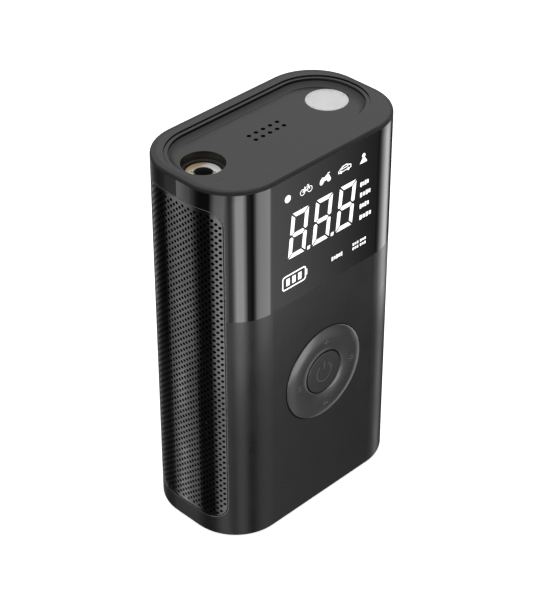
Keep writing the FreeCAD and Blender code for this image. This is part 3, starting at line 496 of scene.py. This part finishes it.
def grille_trim(name, side):
    """A pale band on the edge of the casing's opening, painted as a highlight: a thin line of light
    round the grille.
    """
    loops = []
    for grow, inset in ((GRILLE_GAP, 0.3), (GRILLE_GAP, -0.03), (GRILLE_GAP + EDGE_WIDTH, -0.03),
                        (GRILLE_GAP + EDGE_WIDTH, 0.05)):
        loop = []
        for s, z in grille_border(grow):
            x, y = end_point(s, inset * MM)
            loop.append((x * -side, y, z))
        loops.append(loop)
    # The band's pale colour is a painted highlight.
    new_object(name, loft(name, loops), MATERIALS["painted_highlight_edge"])


GRILLE_PATTERN = grille_pattern()


# ------------------------------------------------------------------ display and symbols

SLANT = 0.105                              # the digits lean to the right by this much
STROKE = 1.5                               # width of a segment, in millimetres
DIGIT_LOW = 102.6                          # the lower end of the digits, in millimetres
DIGIT_WIDE, DIGIT_TALL = 7.3, 15.6
ICON_HEIGHT = 124.35
BATTERY_X, BATTERY_HEIGHT = -13.75, 94.45


def flat_front(x, z):
    """The plane of the control face."""
    return FRONT


def printed(name, shapes, material, body="root", surface=flat_front,
            proud=0.03 * MM):
    """Thin shapes standing on a surface that faces the front.
    A shape is a list of (x, z) corners, or a pair of such loops for a closed band.
    Shapes that overlap stand at slightly different heights."""
    bm = bmesh.new()
    for number, shape in enumerate(shapes):
        outer, inner = shape if isinstance(shape, tuple) else (shape, None)
        lift = proud + 0.002 * MM * (number % 9)
        rows = []
        for loop, height in ((outer, -0.02 * MM), (outer, lift), (inner, lift), (inner, -0.02 * MM)):
            if loop:
                rows.append([bm.verts.new((x, surface(x, z) - height, z)) for x, z in loop])
        pairs = zip(rows, rows[1:] + rows[:1]) if inner else [(rows[0], rows[1])]
        for one, two in pairs:
            for i in range(len(outer)):
                k = (i + 1) % len(outer)
                bm.faces.new([one[i], one[k], two[k], two[i]])
        if not inner:
            bm.faces.new(rows[0])
            bm.faces.new(rows[1])
    return new_object(name, finish_mesh(bm, name), material, body)


def stroke(points, width):
    """A band of even width along an open line of (x, z) points."""
    half = width / 2
    sides = [[], []]
    for i, (x, z) in enumerate(points):
        x0, z0 = points[max(i - 1, 0)]
        x1, z1 = points[min(i + 1, len(points) - 1)]
        length = math.hypot(x1 - x0, z1 - z0)
        off_x, off_z = -(z1 - z0) / length * half, (x1 - x0) / length * half
        sides[0].append((x + off_x, z + off_z))
        sides[1].append((x - off_x, z - off_z))
    return sides[0] + sides[1][::-1]


def band(centre, radius, width, sides=24):
    """A closed round band."""
    return (along_arc(centre, radius + width / 2, 0, 360, sides)[:-1],
            along_arc(centre, radius - width / 2, 0, 360, sides)[:-1])


def disc(centre, radius, sides=24):
    return along_arc(centre, radius, 0, 360, sides)[:-1]


def bar(x, z, half_x, half_z):
    return [(x - half_x, z - half_z), (x + half_x, z - half_z),
            (x + half_x, z + half_z), (x - half_x, z + half_z)]


def round_bar(x, z, half_x, half_z, radius):
    """A rectangle with round corners, as one loop."""
    loop = []
    for sx, sz, start in ((1, -1, 270), (1, 1, 0), (-1, 1, 90), (-1, -1, 180)):
        centre = (x + sx * (half_x - radius), z + sz * (half_z - radius))
        loop += along_arc(centre, radius, start, start + 90, 6)
    return loop


def scaled(shape, x, z):
    """Moves a shape drawn in millimetres about zero to its place, in metres."""
    if isinstance(shape, tuple):
        return tuple(scaled(loop, x, z) for loop in shape)
    return [((px + x) * MM, (pz + z) * MM) for px, pz in shape]


def eight(left, low, wide, tall):
    """The seven segments of a digit, each with mitred ends."""
    gap = 0.36
    t = STROKE
    mid = tall / 2
    half = t / 2
    level = [
        [(gap, tall), (wide - gap, tall), (wide - t - gap, tall - t), (t + gap, tall - t)],
        [(t + gap, t), (wide - t - gap, t), (wide - gap, 0), (gap, 0)],
        [(half + gap, mid), (t + gap, mid + half), (wide - t - gap, mid + half),
         (wide - half - gap, mid), (wide - t - gap, mid - half), (t + gap, mid - half)],
    ]
    upright = [
        [(0, tall - gap * 1.4), (t, tall - t - gap), (t, mid + half + gap), (half, mid + gap),
         (0, mid + half)],
        [(0, gap * 1.4), (0, mid - half), (half, mid - gap), (t, mid - half - gap), (t, t + gap)],
    ]
    mirrored = [[(wide - x, z) for x, z in shape][::-1] for shape in upright]
    segments = level + upright + mirrored
    return [[((left + x + SLANT * z) * MM, (low + z) * MM) for x, z in segment]
            for segment in segments]


def bicycle():
    lines = [[(-1.55, -0.5), (-0.6, 0.75), (0.95, 0.75), (0.0, -0.5), (-1.4, -0.5)],
             [(0.65, 1.25), (1.55, -0.5)], [(-0.75, 1.15), (0.0, -0.5)], [(0.25, 1.25), (1.1, 1.25)]]
    wheels = [band((side * 1.55, -0.5), 0.95, 0.2) for side in (-1, 1)]
    return wheels + [stroke(line, 0.2) for line in lines]


def motorcycle():
    tank = [(-2.2, 0.2), (-1.3, 0.95), (-0.3, 0.6), (0.5, 1.2), (1.5, 1.0), (2.0, 0.2), (1.4, -0.5),
            (-0.9, -0.7), (-1.8, -0.4)]
    wheels = [disc((side * 1.6, -0.75), 0.8) for side in (-1, 1)]
    return wheels + [tank, stroke([(0.8, 1.0), (1.2, 1.6), (1.9, 1.5)], 0.3)]


def car():
    body = [(-2.75, -0.95), (-2.9, -0.2), (-2.2, 0.35), (-1.1, 1.15), (0.7, 1.3), (1.9, 0.75),
            (2.8, 0.45), (2.85, -0.7)]
    cabin = [(-2.45, -0.7), (-2.55, -0.15), (-1.95, 0.15), (-0.95, 0.85), (0.65, 1.0), (1.75, 0.5),
             (2.5, 0.25), (2.55, -0.5)]
    window = stroke([(-1.5, 0.2), (1.5, 0.35)], 0.25)
    wheels = [disc((side * 1.6, -0.75), 0.5, 16) for side in (-1, 1)]
    return [(body, cabin), window] + wheels


def pawn():
    skirt = [(-1.6, -1.6), (1.6, -1.6), (1.15, -0.75), (0.4, 0.2), (0.35, 0.6), (-0.35, 0.6),
             (-0.4, 0.2), (-1.15, -0.75)]
    return [skirt, disc((0, 0.95), 0.72)]


def small_blocks(count, wide, tall):
    """A row of small blocks, where a unit or a mode would be named."""
    step = wide / count
    return [bar(-wide / 2 + (i + 0.5) * step, 0, step * 0.34, tall * (0.5 - 0.1 * (i % 2)))
            for i in range(count)]


def display_graphics():
    """Digits and their points, mode symbols, blocks for units and modes, and a battery."""
    shapes = []
    for left in (-16.5, -6.1, 4.3):
        shapes += eight(left, DIGIT_LOW, DIGIT_WIDE, DIGIT_TALL)
    for x in (-7.6, 2.75):
        point = [(-0.6, 0), (0.55, 0), (0.7, 1.2), (-0.45, 1.2)]
        shapes.append(scaled(point, x, 102.4))
    icons = {-16.7: [disc((0, 0), 1.25)], -8.9: bicycle(), -0.7: motorcycle(), 7.8: car(),
             16.2: pawn()}
    for x, parts in icons.items():
        shapes += [scaled(part, x, ICON_HEIGHT) for part in parts]
    for z, wide in ((115.2, 4.0), (111.4, 5.0), (107.3, 4.4), (103.2, 5.6)):
        shapes += [scaled(part, 14.9 + wide / 2, z) for part in small_blocks(4, wide, 1.6)]
    shapes += [scaled(part, 5.2, 93.6) for part in small_blocks(5, 5.1, 1.4)]
    for x in (13.6, 17.0):
        for z in (92.9, 94.5):
            shapes += [scaled(part, x, z) for part in small_blocks(3, 2.9, 0.9)]
    outer = round_bar(0, 0, 5.15, 2.6, 1.1)
    inner = round_bar(0, 0, 4.7, 2.15, 0.7)
    shapes.append(scaled((outer, inner), BATTERY_X, BATTERY_HEIGHT))
    shapes.append(scaled(round_bar(0, 0, 0.3, 1.1, 0.25), -8.35, BATTERY_HEIGHT))
    for x in (-16.4, -13.85, -11.3):
        shapes.append(scaled(bar(0, 0, 0.72, 1.25), x, BATTERY_HEIGHT))
    printed("display_segments", shapes, glow("display_white", (1.0, 1.0, 1.0), 1.4))


# ------------------------------------------------------------------ control ring and button

BUTTON_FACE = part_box("power_button")[0][1]
RING_BORE, RING_RADIUS = 7.8, 16.75        # in millimetres, like the ring's face
# The ring's face from its bore to its rim, as (radius, distance in front of the centre plane).
RING_FACE = smooth_line([(RING_BORE, 22.5), (7.95, 22.75), (8.5, 23.0), (9.6, 23.3),
                         (11.0, 23.55), (12.6, 23.63), (14.2, 23.5), (15.6, 23.2),
                         (16.4, 22.95), (16.68, 22.8), (RING_RADIUS, 22.6), (RING_RADIUS, 22.1)])


def ring_surface(x, z):
    """The ring's face as a y, for a place on it."""
    radius = math.hypot(x, z - BUTTON_Z) / MM
    for (r0, y0), (r1, y1) in zip(RING_FACE, RING_FACE[1:]):
        if r0 <= radius <= r1:
            return -(y0 + (y1 - y0) * (radius - r0) / (r1 - r0)) * MM
    return -RING_FACE[0][1] * MM


def control_ring():
    """The ring: its curved face, a flange behind it, and a hollow back."""
    back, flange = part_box("nav_ring")[1][1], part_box("nav_ring")[1][0]
    outer, shelf, web = RING_RADIUS * MM, 15.6 * MM, 9.3 * MM
    web_front, web_back = -21 * MM, -20.2 * MM
    profile = [(RING_BORE * MM, web_back)] + [(r * MM, -y * MM) for r, y in RING_FACE]
    profile += [(outer, back - 0.6 * MM), (flange, back - 0.6 * MM), (flange, back), (shelf, back),
                (shelf, web_front), (web, web_front), (web, web_back)]
    piece = new_object("control_ring", lathe("control_ring", profile, (0, 0, BUTTON_Z), "Y", 128),
                       MATERIALS["ring_plastic"], "ring")
    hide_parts("nav_ring")


def button_surface(x, z):
    """The middle of the button's face."""
    return BUTTON_FACE + 0.06 * MM


def control_button():
    """The button: a face with a rounded edge, a flange behind it, and a short stem."""
    back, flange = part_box("power_button")[1][1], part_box("power_button")[1][0]
    radius, edge, stem = 7.5 * MM, 0.35 * MM, 2 * MM
    flange_front, flange_back = -19 * MM, -18.5 * MM
    rounding = [(radius - edge + edge * math.sin(a), BUTTON_FACE + edge - edge * math.cos(a))
                for a in (math.radians(15 * i) for i in range(7))]
    profile = [(0, BUTTON_FACE + 0.06 * MM), (radius * 0.6, BUTTON_FACE + 0.05 * MM)] + rounding
    profile += [(radius, flange_front), (flange, flange_front), (flange, flange_back),
                (stem, flange_back), (stem, back), (0, back)]
    mesh = lathe("control_button", profile, (0, 0, BUTTON_Z), "Y")
    piece = new_object("control_button", mesh, MATERIALS["button_plastic"], "button")
    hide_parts("power_button")


def control_symbols():
    """Faint marks: plus and minus, a menu sign, a lamp sign, and a power sign in the middle."""
    middle = BUTTON_Z / MM
    plus = [bar(0, 0, 1.1, 0.22), bar(0, 0, 0.22, 1.1)]
    minus = [bar(0, 0, 1.1, 0.22)]
    menu = [bar(0, dz, 1.0, 0.18) for dz in (-0.75, 0, 0.75)]
    lamp_sign = [band((0, 0), 0.7, 0.3, 20)] + [
        stroke([(1.1 * math.cos(a), 1.1 * math.sin(a)), (1.5 * math.cos(a), 1.5 * math.sin(a))], 0.25)
        for a in (math.radians(45 * i) for i in range(8))]
    shapes = []
    for sign, x, z in ((menu, -12.1, 0), (lamp_sign, 12.1, 0), (plus, 0, 12.2), (minus, 0, -12.2)):
        shapes += [scaled(part, x, middle + z) for part in sign]
    printed("ring_symbols", shapes, MATERIALS["faint_mark"], "ring", ring_surface,
            0.13 * MM)
    power = [stroke(along_arc((0, 0), 3.3, 125, 415, 30), 0.42), bar(0, 2.6, 0.21, 1.5)]
    printed("power_symbol", [scaled(part, 0, middle) for part in power], MATERIALS["faint_mark"],
            "button", button_surface)


# ------------------------------------------------------------------ top: rim, outlet and lamp

RECESS_X, RECESS_Y, RECESS_MIDDLE = 37.3 * MM, 16.35 * MM, 1.95 * MM
TOP = HEIGHT / MM                          # heights of the rim are in millimetres
SHOULDER = 131.3                           # the lower edge of the rim wall, and the top of the slope
SLOPE_DROP = 1.22
SLOPE_STEPS = 8
SKIRT_LOW = 127.5


def outline_loop(inset, z):
    """A loop round the casing, drawn in by inset, in millimetres."""
    inset *= MM
    return round_rectangle(HALF_WIDTH - inset, HALF_DEPTH - inset, CORNER - inset, 0, z * MM)


def recess_loop(inset, drop, z=None):
    """A loop round the recess, drawn in by inset.  It lies at z, or below the rim by a drop that
    runs out towards the front, where the recess blends into the rim."""
    half_y = RECESS_Y - inset * MM
    loop = round_rectangle(RECESS_X - inset * MM, half_y, half_y - 0.6 * MM, RECESS_MIDDLE, 0)
    heights = [z if z else TOP - drop * min(1.0, max(0.0, (y / MM + 12) / 7)) for _, y, _ in loop]
    return [(x, y, height * MM) for (x, y, _), height in zip(loop, heights)]


def border_loop(z):
    """The inner edge of the border, whose darker look is painted shade of the bevel; the border is
    narrower along the front.
    """
    return round_rectangle(HALF_WIDTH - 1.9 * MM, HALF_DEPTH - 1.25 * MM, CORNER - 1.6 * MM,
                           -0.65 * MM, z * MM)


def top_rim():
    """The matt cap: a rim, a fine groove, a narrow ledge, a dark gap, a slope down to the plate
    and a skirt.  The border round it is a piece of its own, in a copy of the cap plastic
    with the bevel's light and shade painted into it."""
    loops = [border_loop(SHOULDER), border_loop(TOP), recess_loop(-0.2, 0.0),
             recess_loop(-0.12, 0.06), recess_loop(-0.08, 0.62), recess_loop(0.12, 0.62),
             recess_loop(0.16, 0.42), recess_loop(1.14, 0.46), recess_loop(1.22, 0.56),
             recess_loop(1.25, 1.2), recess_loop(1.42, 1.2)]
    for step in range(SLOPE_STEPS + 1):
        share = step / SLOPE_STEPS
        height = SHOULDER - SLOPE_DROP * share * (1.5 - 0.5 * share)
        loops.append(recess_loop(1.45 + 1.95 * share, 0, height))
    loops += [recess_loop(0.05, 0, 129.9), recess_loop(0.05, 0, SKIRT_LOW),
              outline_loop(2.35, SKIRT_LOW), outline_loop(2.35, SHOULDER)]
    piece = new_object("top_rim", loft("top_rim", loops), MATERIALS["matte_casing"])
    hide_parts("top_bezel")
    border = [border_loop(131.2), outline_loop(0, 131.2), outline_loop(0, 131.4),
              outline_loop(0.06, 131.75), outline_loop(0.22, 132.1), outline_loop(0.5, 132.36),
              border_loop(TOP)]
    # The border takes the copy of the cap plastic that paints the bevel's light and shade.
    new_object("top_border", loft("top_border", border), MATERIALS["border_painted_shading"])


def outlet_socket():
    """The pale brass socket: a bright face, a bevelled edge, and a notched bore whose inside is
    painted near black as shade.
    """
    (west, south, low), (east, north, top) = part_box("outlet_connector")
    centre = ((west + east) / 2, (south + north) / 2, 0)
    bore, face, outer = 2.5 * MM, 5.5 * MM, 6.2 * MM
    neck, stem, passage = 3.8 * MM, 2.4 * MM, 1.2 * MM
    mouth_low, body_low, bore_low, neck_low = 124 * MM, 118.9 * MM, 116 * MM, 114 * MM
    notch_turn, notch_half, notch_depth = 135, 9, 0.75 * MM    # degrees, degrees, metres
    profile = [(bore, bore_low), (bore, top - 1.0 * MM), (bore + 0.55 * MM, top - 0.12 * MM),
               (bore + 0.65 * MM, top), (face, top), (outer, top - 0.9 * MM), (outer, body_low),
               (neck, body_low), (neck, neck_low), (stem, neck_low), (stem, low),
               (passage, low), (passage, bore_low)]
    mesh = lathe("outlet_socket", profile, centre, turns=144)
    notch_spots = []
    for vert in mesh.vertices:
        offset = Vector((vert.co.x - centre[0], vert.co.y - centre[1]))
        turn = abs(math.degrees(math.atan2(offset.y, offset.x)) % 180 - notch_turn)
        on_mouth = bore < offset.length + 1e-6 < bore + 0.7 * MM and vert.co.z > mouth_low
        if turn < notch_half and on_mouth:
            notch_spots.append((vert, offset))
    for vert, offset in notch_spots:
        moved = offset * (1 + notch_depth / offset.length)
        vert.co.x, vert.co.y = centre[0] + moved.x, centre[1] + moved.y
    mesh.materials.append(MATERIALS["brass_fitting"])
    mesh.materials.append(MATERIALS["bore_painted_shade"])
    # Faces inside the bore take the near-black material: painted shade in the deep bore.
    for polygon in mesh.polygons:
        spot = polygon.center
        if math.hypot(spot.x - centre[0], spot.y - centre[1]) < bore + 0.58 * MM:
            polygon.material_index = 1
    piece = new_object("outlet_socket", mesh, None)
    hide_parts("outlet_connector")


def lamp_lens():
    """The milky lens, with a raised border."""
    (west, south, low), (east, north, top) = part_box("led_lens")
    centre = ((west + east) / 2, (south + north) / 2, 0)
    flange = (east - west) / 2
    shelf = low + 0.65 * MM
    rim = 6.85 * MM
    profile = [(0, top - 0.02 * MM), (rim - 0.8 * MM, top - 0.05 * MM),
               (rim - 0.7 * MM, top - 0.14 * MM), (rim - 0.58 * MM, top + 0.02 * MM),
               (rim - 0.15 * MM, top + 0.02 * MM), (rim, top - 0.1 * MM), (rim, shelf),
               (flange, shelf), (flange, low), (0, low + 0.7 * MM)]
    piece = new_object("lamp_lens", lathe("lamp_lens", profile, centre, turns=128),
                       MATERIALS["lens_white"])
    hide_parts("led_lens")


# ------------------------------------------------------------------ studio

CAMERA_SPOT = Vector((-0.3643, -0.3615, 0.4320))
CAMERA_AIM = Vector((0.17, 1.26, 67.67)) * MM


def camera():
    """Looks down at the object from its front left."""
    data = bpy.data.cameras.new("camera")
    data.lens = 117.2
    data.sensor_width = 36
    data.clip_start = 0.01
    holder = bpy.data.objects.new("camera", data)
    scene.collection.objects.link(holder)
    holder.location = CAMERA_SPOT
    holder.rotation_euler = (CAMERA_AIM - CAMERA_SPOT).to_track_quat("-Z", "Y").to_euler()
    scene.camera = holder


def floor():
    """A pale floor that the object isn't lit by and doesn't reflect."""
    bm = bmesh.new()
    half = 4.0
    bm.faces.new([bm.verts.new((x, y, 0)) for x, y in
                  ((-half, -half), (half, -half), (half, half), (-half, half))])
    mesh = bpy.data.meshes.new("floor")
    bm.to_mesh(mesh)
    bm.free()
    material, tree, shader = node_tree("pale_floor")
    shader.inputs["Base Color"].default_value = (0.9, 0.9, 0.9, 1)
    shader.inputs["Roughness"].default_value = 0.9
    shader.inputs["Emission Color"].default_value = (1, 1, 1, 1)
    shader.inputs["Emission Strength"].default_value = 0.8
    piece = new_object("floor", mesh, material, None)
    piece.visible_diffuse = False
    piece.visible_glossy = False


# The light tent is a wall of soft strips of light round the object.  Only reflections see it.
# Each row is a direction round the object, in degrees, the brightness of the middle heights, and
# the brightness of the ends.
TENT = [(-74, 3.6, 0.8), (-70, 1.1, 0.5), (-62, 0.92, 0.4), (-45, 0.25, 0.28), (-39, 0.06, 0.14),
        (-36, 0.3, 0.16), (-32, 1.0, 0.25), (-28, 1.8, 0.5), (-24, 2.5, 0.95), (-20, 3.0, 1.1),
        (-15, 2.7, 0.8), (-11, 2.0, 0.4), (-7, 0.9, 0.12), (-3, 0.15, 0.03), (2, 0.02, 0.0),
        (24, 0.02, 0.0), (58, 0.03, 0.03), (68, 0.35, 0.3), (86, 0.4, 0.28), (95, 0.4, 0.25),
        (101, 0.35, 0.2), (112, 0.15, 0.1), (124, 0.04, 0.06), (138, 0.02, 0.05),
        (142, 0.05, 0.09), (145, 0.1, 0.15), (147, 0.3, 0.2), (147.7, 0.9, 0.45),
        (148.2, 1.3, 2.2), (148.9, 1.5, 2.6), (149.6, 1.4, 0.8), (151, 0.8, 0.5),
        (155, 0.5, 0.45), (160, 0.3, 0.1), (165, 0.1, 0.04), (170, 0.04, 0.04),
        (186, 0.04, 0.04), (195, 2.2, 1.4), (207, 2.6, 1.9),
        (213, 0.6, 0.2), (217, 0.8, 0.3), (220, 2.4, 0.8), (224, 5.6, 1.7), (233, 5.6, 1.7),
        (237, 3.0, 0.9), (241, 0.3, 0.05), (250, 0.05, 0.05), (254, 0.8, 0.2), (258, 2.8, 0.75),
        (264, 3.6, 0.85), (280, 3.6, 0.85)]
TENT_RADIUS = 0.1
# Each level is a height and the middle's share in its brightness.
TENT_LEVELS = [(-0.15, 0.0), (0.01, 0.0), (0.021, 1.0), (0.088, 1.0), (0.1, 0.15), (0.11, 0.15)]


def tent():
    """Builds the light tent, closed all round and open at its ends."""
    bm = bmesh.new()
    glow_layer = bm.verts.layers.float.new("glow")
    columns = []
    for turn, middle, ends in TENT:
        angle = math.radians(turn)
        column = []
        for height, share in TENT_LEVELS:
            spot = (TENT_RADIUS * math.cos(angle), TENT_RADIUS * math.sin(angle), height)
            vert = bm.verts.new(spot)
            vert[glow_layer] = ends + (middle - ends) * share
            column.append(vert)
        columns.append(column)
    for one, two in zip(columns, columns[1:] + columns[:1]):
        for level in range(len(TENT_LEVELS) - 1):
            bm.faces.new([one[level], two[level], two[level + 1], one[level + 1]])
    mesh = bpy.data.meshes.new("light_tent")
    bm.to_mesh(mesh)
    bm.free()
    material = bpy.data.materials.new("tent_light")
    material.use_nodes = True
    tree = material.node_tree
    tree.nodes.clear()
    level = tree.nodes.new("ShaderNodeAttribute")
    level.attribute_name = "glow"
    light = tree.nodes.new("ShaderNodeEmission")
    out = tree.nodes.new("ShaderNodeOutputMaterial")
    tree.links.new(level.outputs["Fac"], light.inputs["Strength"])
    tree.links.new(light.outputs["Emission"], out.inputs["Surface"])
    piece = new_object("light_tent", mesh, material, None)
    for ray in ("camera", "diffuse", "transmission", "volume_scatter", "shadow"):
        setattr(piece, "visible_" + ray, False)


SKY_KEY = Vector((0.25, 0.25, 0.935))        # the sky is brightest above the object


def lighting():
    """A pale sky, brightest above the object."""
    world = bpy.data.worlds.new("studio")
    world.use_nodes = True
    tree = world.node_tree
    place = tree.nodes.new("ShaderNodeTexCoord")
    toward = tree.nodes.new("ShaderNodeVectorMath")
    toward.operation = "DOT_PRODUCT"
    toward.inputs[1].default_value = SKY_KEY
    tree.links.new(place.outputs["Generated"], toward.inputs[0])
    level = add_node(tree, "ShaderNodeMapRange", From_Min=0.3, From_Max=0.9, To_Min=0.1,
                     To_Max=1.2)
    tree.links.new(toward.outputs["Value"], level.inputs["Value"])
    backdrop = tree.nodes["Background"]
    backdrop.inputs["Color"].default_value = (1, 1, 1, 1)
    tree.links.new(level.outputs["Result"], backdrop.inputs["Strength"])
    scene.world = world


scene.view_settings.view_transform = "Standard"
dress_cad_nodes()
for grille, end in (("left_grille", -1), ("right_grille", 1)):
    perforated_grille(grille, end)
    grille_trim(grille + "_trim", end)
display_graphics()
control_ring()
control_button()
control_symbols()
top_rim()
outlet_socket()
lamp_lens()
camera()
floor()
tent()
lighting()
